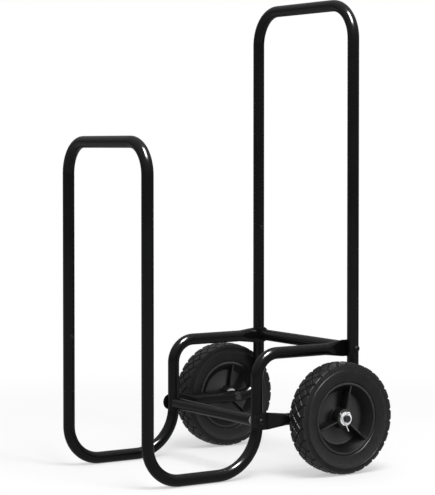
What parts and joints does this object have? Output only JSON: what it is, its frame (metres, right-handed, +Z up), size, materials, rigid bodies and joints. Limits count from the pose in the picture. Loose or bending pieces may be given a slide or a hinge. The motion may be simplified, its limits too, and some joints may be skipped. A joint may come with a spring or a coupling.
{
  "type": "fireside log cart",
  "caption": "Bent-tube log cart with a stepped open cradle, a low front hoop, a tall handle hoop and lugged wheels on stub axles, for carrying and storing firewood.",
  "frame": {"origin": "on the floor under the middle of the cart's plan", "axes": "+X along the axles, -Y towards the front hoop, +Y towards the handle, +Z up"},
  "size_m": [0.5412, 0.6104, 1.081],
  "materials": {
    "powder_coat": "gloss powder coat on steel tube",
    "black_fastener": "black finish on steel",
    "zinc_steel": "bright zinc plate",
    "tyre_rubber": "moulded rubber",
    "hub_plastic": "moulded plastic, fine grain"
  },
  "bodies": {
    "frame": {"front_hoop": "powder_coat", "side_rail_left": "powder_coat", "side_rail_right": "powder_coat", "handle_hoop": "powder_coat", "rear_leg_left": "powder_coat", "rear_leg_right": "powder_coat", "lower_cross_tube": "powder_coat", "shelf_cross_tube": "powder_coat", "cross_tube_plugs": "zinc_steel", "joint_bolts": "black_fastener", "joint_washers": "black_fastener", "hoop_screws": "black_fastener", "stub_axle_left": "zinc_steel", "stub_axle_right": "zinc_steel", "inner_washer_left": "zinc_steel", "inner_washer_right": "zinc_steel", "outer_washer_left": "zinc_steel", "outer_washer_right": "zinc_steel", "cotter_pin_left": "zinc_steel", "cotter_pin_right": "zinc_steel"},
    "wheel_left": {"tyre_left": "tyre_rubber", "wheel_hub_left": "hub_plastic", "hub_bush_left": "zinc_steel"},
    "wheel_right": {"tyre_right": "tyre_rubber", "wheel_hub_right": "hub_plastic", "hub_bush_right": "zinc_steel"}
  },
  "joints": [
    {"name": "wheel_left_spin", "type": "hinge", "parent": "frame", "child": "wheel_left", "pos_m": [-0.2406, 0.17825, 0.127], "axis": [1, 0, 0], "continuous": true},
    {"name": "wheel_right_spin", "type": "hinge", "parent": "frame", "child": "wheel_right", "pos_m": [0.2406, 0.17825, 0.127], "axis": [1, 0, 0], "continuous": true}
  ]
}
